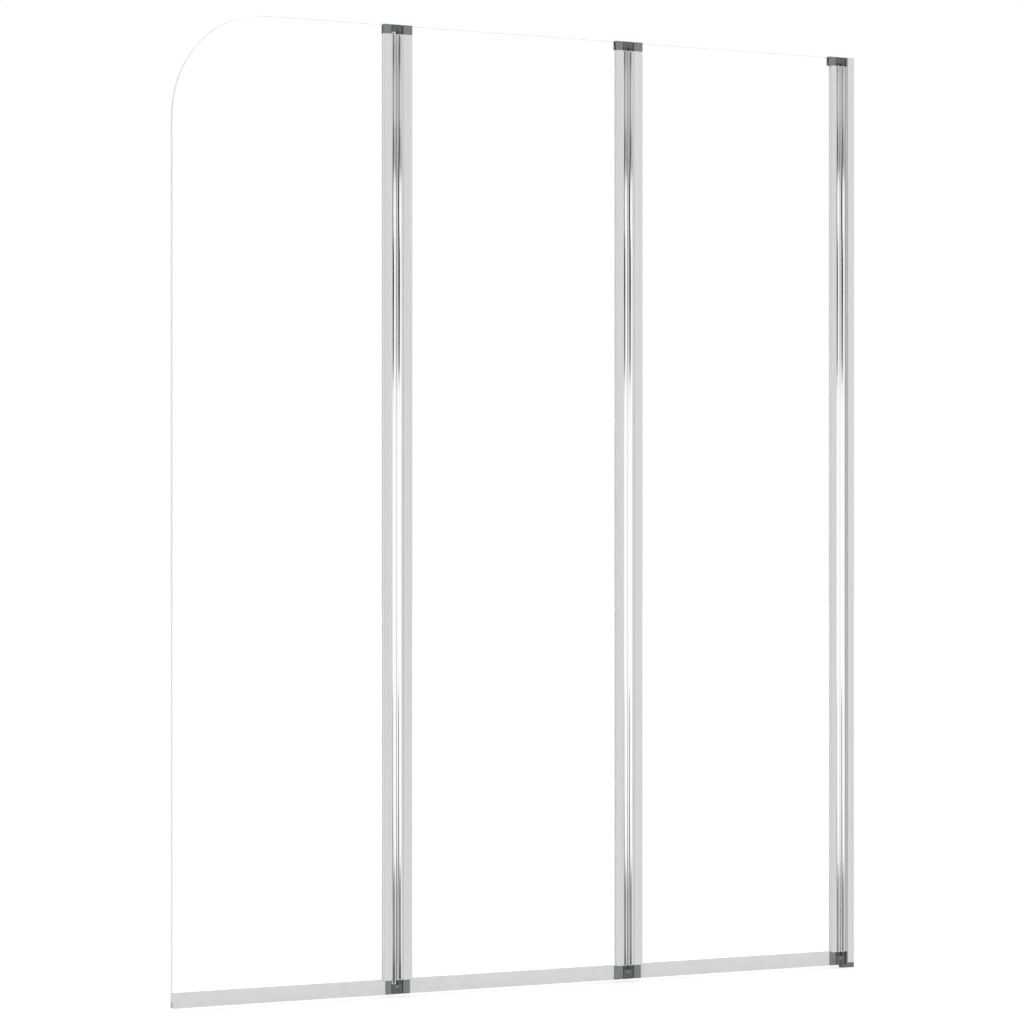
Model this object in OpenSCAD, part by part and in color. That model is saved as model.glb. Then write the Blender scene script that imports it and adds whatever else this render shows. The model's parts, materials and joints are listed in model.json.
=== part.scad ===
// Folding bath screen: three glass panels in a concertina, hung on a wall channel.
// Wall face at x = 0 and the screen running towards -X, glass centre plane at y = 0,
// base of the wall foot at z = 0. Millimetres.

/* [Screen] */
// Height from the base of the foot to the top edge
screen_h = 1400; // [1200:10:1500]
// Middle of the wall hinge to the middle of the inner hinge
inner_w = 398; // [300:1:500]
// Middle of the inner hinge to the middle of the outer hinge
middle_w = 405.5; // [300:0.5:500]
// Middle of the outer hinge to the free edge
outer_w = 368.5; // [300:0.5:450]
// Height of the panels' lower edge above the base of the foot
lift = 4.5; // [4.5:0.1:8]

/* [Glass] */
// Thickness of the toughened glass
glass_t = 5; // [4:0.5:6]
// Radius of the rounded top corner at the free edge
corner_r = 150; // [60:10:250]
// Lower edge of the glass above the panels' lower edge
glass_lift = 9.5; // [8:0.5:12]
// Width of the ground bevel along the glass edges
bevel = 0.5; // [0.3:0.1:0.8]

/* [Profiles] */
// Thickness of the profiles, barrels, caps and wall channel
profile_t = 9.6; // [9.4:0.1:12]
// Gap between two barrels, and between two folded panels
hinge_gap = 0.4; // [0.3:0.1:1]
// Gap between a barrel and the flat of its profile
groove = 0.2; // [0.2:0.1:0.6]
// Thickness of the neck that joins a panel's barrel to its profile
neck_t = 7.6; // [3:0.1:8.4]
// Barrel axis to the outer edge of a profile that points to the wall, and of its upper cap
reach = 20.6; // [18:0.1:24]
// Barrel axis to the outer edge of the outer panel's profile
outer_reach = 17.6; // [16:0.1:24]
// Barrel axis to the outer edge of the middle panel's inner profile
short_reach = 16.4; // [15:0.1:20]
// Barrel axis to the outer edge of the wall-side profile
narrow_reach = 13.6; // [13.2:0.1:18]
// Thickness of the webs inside a profile
web = 1.2; // [1:0.1:1.6]
// Width of the hollow between the webs
port_w = 2.2; // [2:0.1:2.4]
// Radius of the profiles' outer corners
edge_r = 0.9; // [0.4:0.1:1.2]
// Thickness of the glazing gasket
gasket_t = 0.6; // [0.4:0.1:0.8]
// How far the gasket stays inside the profile's mouth
gasket_inset = 0.6; // [0.2:0.1:1]

/* [Hinges] */
// Diameter of the hinge pins
pin_d = 5; // [4:0.1:5.4]
// Running gap round each pin
pin_gap = 0.05; // [0.02:0.01:0.08]
// Wall of the hinge bushes
bush_wall = 0.85; // [0.6:0.05:1]
// Length of a bush inside its barrel
bush_l = 12; // [8:1:20]
// End play between a link and the bush above or below it
end_play = 0.05; // [0.05:0.05:0.3]
// Height of the lower links
low_link_h = 13.5; // [11:0.5:16]
// Height of the upper links
top_link_h = 9.6; // [8:0.1:12]
// Thickness of the bridge between the two eyes of a link
bridge_t = 6; // [4:0.5:8]
// Radius of the round boss on the lower links
boss_r = 2.6; // [1.5:0.1:3]
// Height of the crown on the boss
boss_crown = 1; // [0.5:0.1:1.2]
// How far the boss stands above the middle of its link
boss_rise = 3.4; // [2:0.1:4]
// Collar of the bushes in the outer panel's longer barrel
short_collar = 1.2; // [0.8:0.1:2]
// Length of a pin left free beyond its bush
pin_spare = 2; // [0:0.5:4]
// Material left behind the blind hole of a pin
pin_floor = 1.5; // [1:0.5:3]
// Bevel on the ends of the pins
pin_bevel = 0.4; // [0.2:0.1:0.8]

/* [End caps] */
// Height of the lower end caps
low_cap_h = 20.1; // [18:0.1:24]
// Height of the upper end caps
top_cap_h = 13.7; // [12.5:0.1:18]
// Barrel axis to the outer edge of the upper caps that point away from the wall
cap_reach = 18; // [14:0.1:24]
// Thickness of the upper caps' roof over the glass
cap_roof = 1; // [0.8:0.1:2]
// Clearance of a cap round the glass and in its profile
cap_fit = 0.15; // [0.05:0.05:0.3]
// Length of the caps' pegs
peg_l = 9; // [6:1:14]
// Bevel round the outer end of the caps
cap_bevel = 0.5; // [0.3:0.1:0.8]
// Barrel axis to the outer edge of the outer panel's lower cap
outer_foot_reach = 14.5; // [13.5:0.1:20]
// Barrel axis to the outer edge of the middle panel's outer lower cap
middle_left_foot_reach = 16.5; // [13.5:0.1:20]
// Barrel axis to the outer edge of the middle panel's inner lower cap
middle_right_foot_reach = 20.6; // [13.5:0.1:22]
// Barrel axis to the outer edge of the inner panel's outer lower cap
inner_left_foot_reach = 17.5; // [13.5:0.1:20]
// Barrel axis to the outer edge of the inner panel's wall-side lower cap
inner_right_foot_reach = 16.3; // [13.5:0.1:20]

/* [Bottom seals] */
// Height of the bottom seals
seal_h = 21.5; // [18:0.5:26]
// Thickness of the seals' walls
seal_wall = 1; // [0.8:0.1:1.4]
// Thickness of the seals' web under the glass
seal_web = 2; // [1.5:0.1:3]
// Thickness of the two wiping lips at their lower edge
lip_t = 0.5; // [0.4:0.1:0.8]
// Clearance between a seal and the caps and profiles that it meets
seal_fit = 0.2; // [0.1:0.1:0.5]

/* [Wall channel] */
// Depth of the wall channel
channel_d = 12.4; // [11:0.1:20]
// Thickness of the channel's sides
channel_side = 1.2; // [1:0.1:1.5]
// Thickness of the channel's back
channel_back = 1.6; // [1.4:0.1:2.4]
// Height of the foot under the channel
foot_h = 7.4; // [6:0.1:10]
// Gap between the foot and the lowest link
foot_gap = 0.3; // [0.2:0.1:1]
// Clearance of the post inside the channel
slide_gap = 0.2; // [0.1:0.1:0.4]
// Width of the post that shows in front of the channel
post_show = 2.6; // [1.5:0.1:4]
// Length of the post inside the channel
post_tongue = 6.6; // [6:0.1:8]
// Thickness of the neck that joins the post's barrel to its tongue
post_neck_t = 3; // [2:0.5:4]
// Wall of the post's hollow tongue
post_wall = 1.2; // [1:0.1:1.4]
// Diameter of the holes for the wall screws
wall_hole_d = 4.5; // [3.5:0.1:5.5]
// Outer wall screws to the ends of the screen
wall_hole_inset = 100; // [60:10:200]
// Middle wall screws to the ends of the screen
wall_hole_inner = 500; // [350:10:550]
// Diameter of the clamp screws
screw_d = 3; // [2.5:0.1:3.5]
// Diameter of the clamp screws' heads
screw_head_d = 5.6; // [5:0.1:6.5]
// Height of the clamp screws' heads
screw_head_h = 1.8; // [1.2:0.1:2.4]
// Outer clamp screws to the ends of the screen
screw_inset = 250; // [220:10:320]

/* [Hidden] */

chrome = "silver";
plastic = "dimgray";
seal_grey = "gainsboro";
steel = "lightsteelblue";
clear = [0.85, 0.93, 0.92, 0.5];
rubber = [0.3, 0.3, 0.3];

round_fn = 64;
small_fn = 32;
corner_steps = 4;
arc_steps = 48;
past = 1;

// Hinge section
barrel_r = profile_t / 2;
pitch = profile_t + hinge_gap;
block_x = barrel_r + groove;
pin_r = pin_d / 2;
bush_r = pin_r + pin_gap + bush_wall;
slot_t = glass_t + 2 * gasket_t;
port_x = block_x + web;
slot_x = port_x + port_w + web;
glass_x = slot_x + gasket_t;

// Places along the wall-to-free-edge line
post_x = -(channel_d + post_show + block_x);
wall_hinge_x = post_x - pitch / 2;
inner_hinge_x = wall_hinge_x - inner_w;
outer_hinge_x = inner_hinge_x - middle_w;
free_x = outer_hinge_x - outer_w;

// Heights
low_link_top = lift + low_link_h;
top_link_low = screen_h - top_link_h;
collar_low = low_link_top + end_play;
collar_high = top_link_low - end_play;
rail_low = lift + low_cap_h;
rail_high = screen_h - top_cap_h;
glass_low = lift + glass_lift;
glass_high = screen_h - cap_roof - cap_fit;
seal_high = lift + seal_h;

// Each profiled panel edge: [barrel x, side the profile points to, profile reach,
// lower cap reach, lower end of the barrel, upper end of the barrel, upper cap reach]
inner_right = [wall_hinge_x - pitch / 2, -1, narrow_reach, inner_right_foot_reach,
               rail_low, rail_high, cap_reach];
inner_left = [inner_hinge_x + pitch / 2, 1, reach, inner_left_foot_reach,
              rail_low, rail_high, reach];
middle_right = [inner_hinge_x - pitch / 2, -1, short_reach, middle_right_foot_reach,
                rail_low, rail_high, cap_reach];
middle_left = [outer_hinge_x + pitch / 2, 1, reach, middle_left_foot_reach,
               rail_low, rail_high, reach];
outer_right = [outer_hinge_x - pitch / 2, -1, outer_reach, outer_foot_reach,
               collar_low + short_collar, collar_high - short_collar, cap_reach];

// The same list for the post: its profile points to the wall
post_edge = [post_x, 1, block_x + post_show + post_tongue, 0, rail_low, rail_high];

wall_hole_z = [wall_hole_inset, wall_hole_inner,
               screen_h - wall_hole_inner, screen_h - wall_hole_inset];
screw_z = [screw_inset, screen_h / 2, screen_h - screw_inset];

post_t = profile_t - 2 * channel_side - 2 * slide_gap;
screw_x = -channel_d + post_tongue / 2;

// Points of a rounded rectangle from x = x0 to x1, centred on y = 0
function rounded_points(x0, x1, t, r) = [
    for (corner = [[x1 - r, t / 2 - r, 0], [x0 + r, t / 2 - r, 90],
                   [x0 + r, r - t / 2, 180], [x1 - r, r - t / 2, 270]])
        for (i = [0 : corner_steps])
            let (a = corner[2] + 90 * i / corner_steps)
                [corner[0] + r * cos(a), corner[1] + r * sin(a)]
];

// Moves a shape drawn on a barrel axis, pointing along +X, to a panel edge
module at_edge(edge) {
    translate([edge[0], 0, 0]) mirror([edge[1] < 0 ? 1 : 0, 0, 0]) children();
}

// Upright box from x0 to x1 and z0 to z1, t thick round y = 0
module slab(x0, x1, t, z0, z1) {
    translate([x0, -t / 2, z0]) cube([x1 - x0, t, z1 - z0]);
}

// ---- Profiles, gaskets and glass ----

// Extruded edge profile: hinge barrel, neck, hollow and glazing slot
module profile(edge) {
    color(chrome) at_edge(edge) difference() {
        union() {
            translate([0, 0, edge[4]])
                cylinder(r = barrel_r, h = edge[5] - edge[4], $fn = round_fn);
            slab(0, port_x, neck_t, rail_low, rail_high);
            translate([0, 0, rail_low]) linear_extrude(rail_high - rail_low)
                polygon(rounded_points(block_x, edge[2], profile_t, edge_r));
        }
        translate([0, 0, edge[4] - past])
            cylinder(r = bush_r, h = edge[5] - edge[4] + 2 * past, $fn = round_fn);
        slab(port_x, port_x + port_w, slot_t, rail_low - past, rail_high + past);
        slab(slot_x, edge[2] + past, slot_t, rail_low - past, rail_high + past);
    }
}

// U-shaped gasket that lines the glazing slot
module gasket(edge) {
    mouth = edge[2] - gasket_inset;
    color(rubber) at_edge(edge) difference() {
        slab(slot_x, mouth, slot_t, rail_low, rail_high);
        slab(glass_x, mouth + past, glass_t, rail_low - past, rail_high + past);
    }
}

// Outline of a pane from x0 to x1, drawn in by inset, with its top corner at x0 rounded
function pane_points(x0, x1, inset, r) = concat(
    [[x0 + inset, glass_low + inset], [x1 - inset, glass_low + inset],
     [x1 - inset, glass_high - inset]],
    r == 0 ? [[x0 + inset, glass_high - inset]]
           : [for (i = [0 : arc_steps])
                  let (a = 90 + 90 * i / arc_steps)
                      [x0 + r + (r - inset) * cos(a), glass_high - r + (r - inset) * sin(a)]]
);

// Pane with a ground bevel along all its edges
module pane(x0, x1, r = 0) {
    flat = glass_t - 2 * bevel;
    color(clear) hull() for (layer = [[glass_t, bevel], [flat, 0]])
        translate([0, layer[0] / 2, 0]) rotate([90, 0, 0])
            linear_extrude(layer[0]) polygon(pane_points(x0, x1, layer[1], r));
}

// Pane held between two profiled edges
module framed_pane(left, right) {
    pane(left[0] + glass_x, right[0] - glass_x);
}

// ---- Bottom seals ----

// Section of a seal: it grips the glass above its web and wipes with two lips below
module seal_section(high) {
    outer = glass_t / 2 + seal_wall;
    lip = outer - lip_t;
    neck = glass_t / 2;
    web_low = glass_low - seal_web;
    polygon([[-outer, lift], [-lip, lift], [-neck, web_low], [neck, web_low],
             [lip, lift], [outer, lift], [outer, high], [neck, high],
             [neck, glass_low], [-neck, glass_low], [-neck, high], [-outer, high]]);
}

// Stretch of a seal from x0 to x1
module seal_run(x0, x1, high) {
    translate([x0, 0, 0]) rotate([90, 0, 90]) linear_extrude(x1 - x0) seal_section(high);
}

// Seal that fills the gap between the caps and is notched under the profiles
module seal(cap_x0, cap_x1, profile_x0, profile_x1) {
    color(seal_grey) union() {
        seal_run(cap_x0, cap_x1, rail_low - seal_fit);
        seal_run(max(cap_x0, profile_x0), min(cap_x1, profile_x1), seal_high);
    }
}

// Seal between two profiled edges
module framed_seal(left, right) {
    seal(left[0] + left[3] + seal_fit, right[0] - right[3] - seal_fit,
         left[0] + left[2] + seal_fit, right[0] - right[2] - seal_fit);
}

// ---- End caps ----

// Solid block of an end cap, bevelled at its outer end
module cap_block(x0, x1, z0, z1, bevel_top) {
    step = cap_bevel;
    hull() {
        translate([0, 0, bevel_top ? z0 : z0 + step]) linear_extrude(z1 - z0 - step)
            polygon(rounded_points(x0, x1, profile_t, edge_r));
        translate([0, 0, z0]) linear_extrude(z1 - z0)
            polygon(rounded_points(x0 + step, x1 - step, profile_t - 2 * step, edge_r / 2));
    }
}

// Peg that holds a cap in the profile's hollow
module cap_peg(z0, z1) {
    slab(port_x + cap_fit, port_x + port_w - cap_fit, slot_t - 2 * cap_fit, z0, z1);
}

// Upper end cap: it closes the profile and covers the top edge of the glass
module top_cap(edge) {
    color(plastic) at_edge(edge) union() {
        difference() {
            cap_block(block_x, edge[6], rail_high, screen_h, true);
            slab(glass_x - cap_fit, edge[6] + past, glass_t + 2 * cap_fit,
                 rail_high - past, screen_h - cap_roof);
        }
        cap_peg(rail_high - peg_l, rail_high + cap_roof);
    }
}

// Lower end cap: it closes the profile and carries the lower edge of the glass
module bottom_cap(edge) {
    color(plastic) at_edge(edge) union() {
        difference() {
            cap_block(block_x, edge[3], lift, rail_low, false);
            slab(glass_x - cap_fit, edge[3] + past, glass_t + 2 * cap_fit,
                 glass_low, rail_low + past);
        }
        cap_peg(rail_low - cap_roof, rail_low + peg_l);
    }
}

// ---- Hinges ----

// Flanged bush on a barrel's axis: its collar fills the space up to the link
module bush(edge, low) {
    z0 = low ? collar_low : edge[5] - bush_l;
    z1 = low ? edge[4] + bush_l : collar_high;
    collar_z = low ? collar_low : edge[5];
    collar_h = low ? edge[4] - collar_low : collar_high - edge[5];
    translate([edge[0], 0, 0]) difference() {
        union() {
            translate([0, 0, z0]) cylinder(r = bush_r, h = z1 - z0, $fn = round_fn);
            translate([0, 0, collar_z]) cylinder(r = barrel_r, h = collar_h, $fn = round_fn);
        }
        translate([0, 0, z0 - past])
            cylinder(r = pin_r + pin_gap, h = z1 - z0 + 2 * past, $fn = round_fn);
    }
}

// Both bushes of each barrel in the list
module bushes(edges) {
    color(plastic) for (edge = edges, low = [true, false]) bush(edge, low);
}

// Two eyes and the bridge between them
module link_eyes(hinge_x, z0, h) {
    for (side = [-1, 1])
        translate([hinge_x + side * pitch / 2, 0, z0])
            cylinder(r = barrel_r, h = h, $fn = round_fn);
    slab(hinge_x - pitch / 2, hinge_x + pitch / 2, bridge_t, z0, z0 + h);
}

// Blind holes of a link's two pins
module pin_holes(hinge_x, z0, h) {
    for (side = [-1, 1])
        translate([hinge_x + side * pitch / 2, 0, z0]) cylinder(r = pin_r, h = h, $fn = round_fn);
}

// Crowned boss that goes through the bridge of a lower link
module link_boss(hinge_x) {
    half = barrel_r - cap_fit;
    straight = half - boss_crown;
    rim = boss_r / 2;
    translate([hinge_x, 0, lift + low_link_h / 2 + boss_rise]) rotate([90, 0, 0])
        rotate_extrude($fn = small_fn)
            polygon([[0, -half], [rim, -half], [boss_r, -straight], [boss_r, straight],
                     [rim, half], [0, half]]);
}

// Link over the upper ends of two barrels
module link_top(hinge_x) {
    color(plastic) difference() {
        link_eyes(hinge_x, top_link_low, top_link_h);
        pin_holes(hinge_x, top_link_low - past, top_link_h - pin_floor + past);
    }
}

// Link under the lower ends of two barrels: it carries the weight of the next panel
module link_bottom(hinge_x) {
    color(plastic) difference() {
        union() {
            link_eyes(hinge_x, lift, low_link_h);
            link_boss(hinge_x);
        }
        pin_holes(hinge_x, lift + pin_floor, low_link_h - pin_floor + past);
    }
}

// Steel pin from z0 to z1, bevelled at both ends
module pin(x, z0, z1) {
    translate([x, 0, z0]) rotate_extrude($fn = round_fn)
        polygon([[0, 0], [pin_r - pin_bevel, 0], [pin_r, pin_bevel],
                 [pin_r, z1 - z0 - pin_bevel], [pin_r - pin_bevel, z1 - z0], [0, z1 - z0]]);
}

// The four pins of a hinge, pressed into its links
module hinge_pins(hinge_x) {
    color(steel) for (side = [-1, 1]) {
        x = hinge_x + side * pitch / 2;
        pin(x, lift + pin_floor, rail_low + bush_l + pin_spare);
        pin(x, rail_high - bush_l - pin_spare, screen_h - pin_floor);
    }
}

// ---- Wall side ----

// Channel screwed to the wall
module wall_channel() {
    color(chrome) difference() {
        slab(-channel_d, 0, profile_t, foot_h, screen_h);
        slab(-channel_d - past, -channel_back, profile_t - 2 * channel_side,
             foot_h - past, screen_h + past);
        for (z = wall_hole_z) translate([-channel_back - past, 0, z]) rotate([0, 90, 0])
            cylinder(d = wall_hole_d, h = channel_back + 2 * past, $fn = small_fn);
        for (z = screw_z) translate([screw_x, profile_t / 2 - channel_side - past, z])
            rotate([-90, 0, 0]) cylinder(d = screw_d, h = channel_side + 2 * past, $fn = small_fn);
    }
}

// Post that slides in the channel and carries the first row of hinge barrels
module wall_post() {
    end = post_edge[2];
    color(chrome) at_edge(post_edge) difference() {
        union() {
            translate([0, 0, rail_low])
                cylinder(r = barrel_r, h = rail_high - rail_low, $fn = round_fn);
            slab(0, block_x + post_wall, post_neck_t, rail_low, rail_high);
            slab(block_x, end, post_t, rail_low, rail_high);
        }
        translate([0, 0, rail_low - past])
            cylinder(r = bush_r, h = rail_high - rail_low + 2 * past, $fn = round_fn);
        slab(block_x + post_wall, end - post_wall, post_t - 2 * post_wall,
             rail_low - past, rail_high + past);
        for (z = screw_z) translate([screw_x - post_x, post_t / 2 - post_wall - past, z])
            rotate([-90, 0, 0]) cylinder(d = screw_d, h = post_wall + 2 * past, $fn = small_fn);
    }
}

// Pan-head screws that clamp the post in the channel, on the bath side
module post_clamp_screws() {
    tip = profile_t / 2 - channel_side - slide_gap - post_wall - past;
    head_r = screw_head_d / 2;
    face = profile_t / 2;
    color(steel) for (z = screw_z) translate([screw_x, 0, z]) rotate([-90, 0, 0])
        rotate_extrude($fn = small_fn)
            polygon([[0, tip], [screw_d / 2, tip], [screw_d / 2, face], [head_r, face],
                     [head_r, face + screw_head_h / 3], [head_r * 0.8, face + screw_head_h * 0.8],
                     [head_r * 0.4, face + screw_head_h], [0, face + screw_head_h]]);
}

// Plug that fits the channel, with the part of it that shows in front and its peg
module channel_plug(z0, z1, peg_z0, peg_z1) {
    show_x = -channel_d - post_show;
    slab(show_x, -channel_back - slide_gap, post_t, z0, z1);
    slab(show_x, -channel_d - slide_gap, profile_t, z0, z1);
    slab(show_x + post_wall + cap_fit, post_x + post_edge[2] - post_wall - cap_fit,
         post_t - 2 * post_wall - 2 * cap_fit, peg_z0, peg_z1);
}

// Foot under the wall hinge and the channel
module foot_cap() {
    base_h = lift - foot_gap;
    color(plastic) union() {
        translate([post_x, 0, 0]) cylinder(r = barrel_r, h = base_h, $fn = round_fn);
        slab(post_x, -channel_d, profile_t, 0, base_h);
        slab(-channel_d - slide_gap, 0, profile_t, 0, foot_h);
        channel_plug(0, rail_low, rail_low - cap_roof, rail_low + peg_l);
    }
}

// Cap over the post, level with the top of the channel
module post_top_cap() {
    color(plastic) channel_plug(rail_high, screen_h, rail_high - peg_l, rail_high + cap_roof);
}

wall_channel();
wall_post();
post_clamp_screws();
foot_cap();
post_top_cap();
bushes([post_edge]);  // post_bushes
link_top(wall_hinge_x);  // wall_link_top
link_bottom(wall_hinge_x);  // wall_link_bottom
hinge_pins(wall_hinge_x);  // wall_hinge_pins
framed_pane(inner_left, inner_right);  // inner_glass
profile(inner_right);  // inner_right_profile
profile(inner_left);  // inner_left_profile
gasket(inner_right);  // inner_right_gasket
gasket(inner_left);  // inner_left_gasket
top_cap(inner_right);  // inner_right_top_cap
top_cap(inner_left);  // inner_left_top_cap
bottom_cap(inner_right);  // inner_right_bottom_cap
bottom_cap(inner_left);  // inner_left_bottom_cap
framed_seal(inner_left, inner_right);  // inner_bottom_seal
bushes([inner_left, inner_right]);  // inner_bushes
link_top(inner_hinge_x);  // inner_link_top
link_bottom(inner_hinge_x);  // inner_link_bottom
hinge_pins(inner_hinge_x);  // inner_hinge_pins
framed_pane(middle_left, middle_right);  // middle_glass
profile(middle_right);  // middle_right_profile
profile(middle_left);  // middle_left_profile
gasket(middle_right);  // middle_right_gasket
gasket(middle_left);  // middle_left_gasket
top_cap(middle_right);  // middle_right_top_cap
top_cap(middle_left);  // middle_left_top_cap
bottom_cap(middle_right);  // middle_right_bottom_cap
bottom_cap(middle_left);  // middle_left_bottom_cap
framed_seal(middle_left, middle_right);  // middle_bottom_seal
bushes([middle_left, middle_right]);  // middle_bushes
link_top(outer_hinge_x);  // outer_link_top
link_bottom(outer_hinge_x);  // outer_link_bottom
hinge_pins(outer_hinge_x);  // outer_hinge_pins
pane(free_x, outer_right[0] - glass_x, corner_r);  // outer_glass
profile(outer_right);  // outer_profile
gasket(outer_right);  // outer_gasket
top_cap(outer_right);  // outer_top_cap
bottom_cap(outer_right);  // outer_bottom_cap
seal(free_x, outer_right[0] - outer_right[3] - seal_fit,  // outer_bottom_seal
         free_x, outer_right[0] - outer_right[2] - seal_fit);
bushes([outer_right]);  // outer_bushes
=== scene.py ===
"""Folding bath screen: three glass panes in a concertina, hung on a channel on the wall.

Everything is in the CAD model's frame: wall face at x = 0, the screen running towards -X,
glass centre plane at y = 0, base of the foot at z = 0. Shapes are worked out in millimetres
and put into the meshes in metres. A profile's side is 1 where it grips the glass on the +X
side of its barrel, and -1 where it grips it on the -X side.
"""
import json
import math

import bmesh
import bpy
import numpy as np
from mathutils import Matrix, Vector
from mathutils.geometry import tessellate_polygon

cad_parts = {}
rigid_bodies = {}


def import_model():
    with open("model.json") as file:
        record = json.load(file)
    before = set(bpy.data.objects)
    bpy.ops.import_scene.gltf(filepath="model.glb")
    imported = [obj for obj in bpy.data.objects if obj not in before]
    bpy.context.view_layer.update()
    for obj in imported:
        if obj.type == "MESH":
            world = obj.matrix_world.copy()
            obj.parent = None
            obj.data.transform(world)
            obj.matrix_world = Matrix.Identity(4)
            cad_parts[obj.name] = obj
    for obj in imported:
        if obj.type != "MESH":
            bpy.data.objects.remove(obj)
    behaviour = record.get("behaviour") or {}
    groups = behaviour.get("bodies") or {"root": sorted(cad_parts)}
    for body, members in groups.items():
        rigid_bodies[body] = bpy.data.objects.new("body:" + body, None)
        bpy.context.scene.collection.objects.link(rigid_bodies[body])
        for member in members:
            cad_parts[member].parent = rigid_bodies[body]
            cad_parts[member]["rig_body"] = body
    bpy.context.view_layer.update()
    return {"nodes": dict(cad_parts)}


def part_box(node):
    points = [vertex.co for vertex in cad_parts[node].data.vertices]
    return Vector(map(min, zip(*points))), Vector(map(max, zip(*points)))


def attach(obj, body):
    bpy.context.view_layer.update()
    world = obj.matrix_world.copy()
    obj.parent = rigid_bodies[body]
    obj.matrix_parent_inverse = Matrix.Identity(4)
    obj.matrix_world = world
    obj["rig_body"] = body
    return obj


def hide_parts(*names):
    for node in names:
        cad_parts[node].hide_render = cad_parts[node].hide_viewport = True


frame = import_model()

MM = 0.001

# ---- Sizes that the frame's boxes don't give, in millimetres ----
# An _X is measured from the barrel's axis, and a _HALF is half a thickness, along Y.

# Barrels, and the links between them
BARREL_R = 4.8
BARREL_BORE_R = 3.4
BARREL_RIM = 0.1
RIM_LINE = 0.4  # a line round the wall, this far inside each rim, keeps its shading straight
PITCH = 10.0
LINK_RIM = 0.35
BRIDGE_HALF = 3.0
PIN_R = 2.5
PIN_FLOOR = 1.5
BOSS_R = 2.6
BOSS_LIFT = 3.4  # its axis above the middle of the link
BOSS_HALF = 3.75  # where its straight side ends
BOSS_CROWN = 0.9
BOSS_SIDES = 48

# Profiles and wall post
NECK_HALF = 3.8
POST_NECK_HALF = 1.5
NECK_FILLET = 0.15
BLOCK_X = 5.0
SHOULDER_R = 0.7
PROFILE_HALF = 4.8
JAW_R = 0.9
HOLLOW_X = (6.2, 8.4)
SLOT_X = 9.6
SLOT_HALF = 3.1
INNER_CORNER_R = 0.3
TONGUE_HALF = 3.4
TONGUE_WALL = 1.2
TONGUE_R = 0.4

# Glass
GLASS_HALF = 2.5
ARRIS = 0.5
PANE_CORNER_R = 1.5
FREE_CORNER_R = 150.0
GRIP_HALF = 2.54  # faces that grip the glass stand 0.04 mm off it, so that light comes between

# Glazing gaskets
GASKET_INSET = 0.6  # from the mouth of the slot to the ends of the two legs
BEAD_OUT = 0.6  # from the mouth of the slot to the bead's nose
BEAD_HALF = 3.6
BEAD_ROOT_HALF = 3.05
BEAD_GAP = 0.03  # between the bead and the profile's end
BEAD_ENDS = (0.15, 0.05)  # from the seal under it, and from the block's top
BEAD_INNER_R, BEAD_NOSE_R, BEAD_OUTER_R = 0.15, 0.55, 0.2

# Bottom seals
SEAL_HALF = 3.5
LIP_FOOT_HALF = 3.0
LIP_ROOT_HALF = 2.5
SEAL_WEB_Z = 12.0  # the web's underside
SEAL_SEAT_Z = 14.0  # the web's top, on which the glass stands
SEAL_R, WIPER_R, SEAT_R = 0.3, 0.2, 0.1
NOTCH_GAP = 0.2  # between the seal and the profile over it

# Clamp screws
SHANK_R = 1.5
POLE_R = 0.02  # of the small ring that closes each end
HEAD_RIM = 0.3  # the head's straight side
CROWN_POWER = 0.8  # under 1, the crown is fuller than an ellipse
SCREW_SIDES = 96
CROSS_ARM = 1.6
CROSS_EDGE = 0.45  # from the middle of each bar to where it starts to sink
CROSS_SLOPE = 0.2
CROSS_DEPTH = 0.9
CROSS_FROM = 0.5  # the cross is cut only where the crown stands higher than this

# Edge radius of the pieces that are copied from their CAD nodes
CHANNEL_EDGE = 0.25
CAP_EDGE = 0.3

# ---- Turns between two faces, in degrees ----
FLAT_TURN = 1.0  # up to here the two are one flat face of a copy
SHARP_TURN = 30.0  # from here on an edge is shaded sharp
COPY_SHARP_TURN = 35.0  # the same, on a copy
ROUNDED_TURN = 40.0  # from here on the bevel rounds a copy's edge


def box_mm(node):
    """Lowest and highest corner of a CAD node, in millimetres."""
    low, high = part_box(node)
    return np.array(low) / MM, np.array(high) / MM


# The blocks of all the profiles stand between the same two heights. The barrels follow their own
# node's box, and the gaskets' beads run from the seals nearly to the top of the blocks.
RAIL_Z = tuple(corner[2] for corner in box_mm("inner_left_profile"))
BEAD_Z = (box_mm("inner_bottom_seal")[1][2] + BEAD_ENDS[0], RAIL_Z[1] - BEAD_ENDS[1])


# ---- Shapes ----
# A part of a piece is (points, faces, smooth, finish): an array of points in millimetres, a list
# of faces, and for each face whether it is shaded smooth and which of the piece's materials it has.


def rounded_outline(corners, step=15.0):
    """Closed outline through corners (u, v, radius): each corner gives way to the circular arc
    that touches both of its sides, cut in equal turns of at most step degrees. Returns the
    points and, for the side that starts at each point, whether it belongs to an arc."""
    corners = np.array(corners, float)
    places, radii = corners[:, :2], corners[:, 2]
    points, on_arc = [], []
    for i, radius in enumerate(radii):
        before = places[i - 1] - places[i]
        after = places[(i + 1) % len(places)] - places[i]
        before, after = before / np.hypot(*before), after / np.hypot(*after)
        if radius <= 0:
            points.append(places[i][None])
            on_arc.append([False])
            continue
        half = math.acos(float(np.clip(before @ after, -1, 1))) / 2
        middle = before + after
        centre = places[i] + middle / np.hypot(*middle) * radius / math.sin(half)
        first = places[i] + before * radius / math.tan(half) - centre
        side = np.sign(before[0] * after[1] - before[1] * after[0])
        turn = -side * (math.pi - 2 * half)
        count = max(2, math.ceil(math.degrees(abs(turn)) / step))
        angles = np.linspace(0, turn, count + 1)
        points.append(centre + np.stack([first[0] * np.cos(angles) - first[1] * np.sin(angles),
                                         first[0] * np.sin(angles) + first[1] * np.cos(angles)], 1))
        on_arc.append([True] * count + [False])
    return np.concatenate(points), np.concatenate(on_arc)


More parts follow.
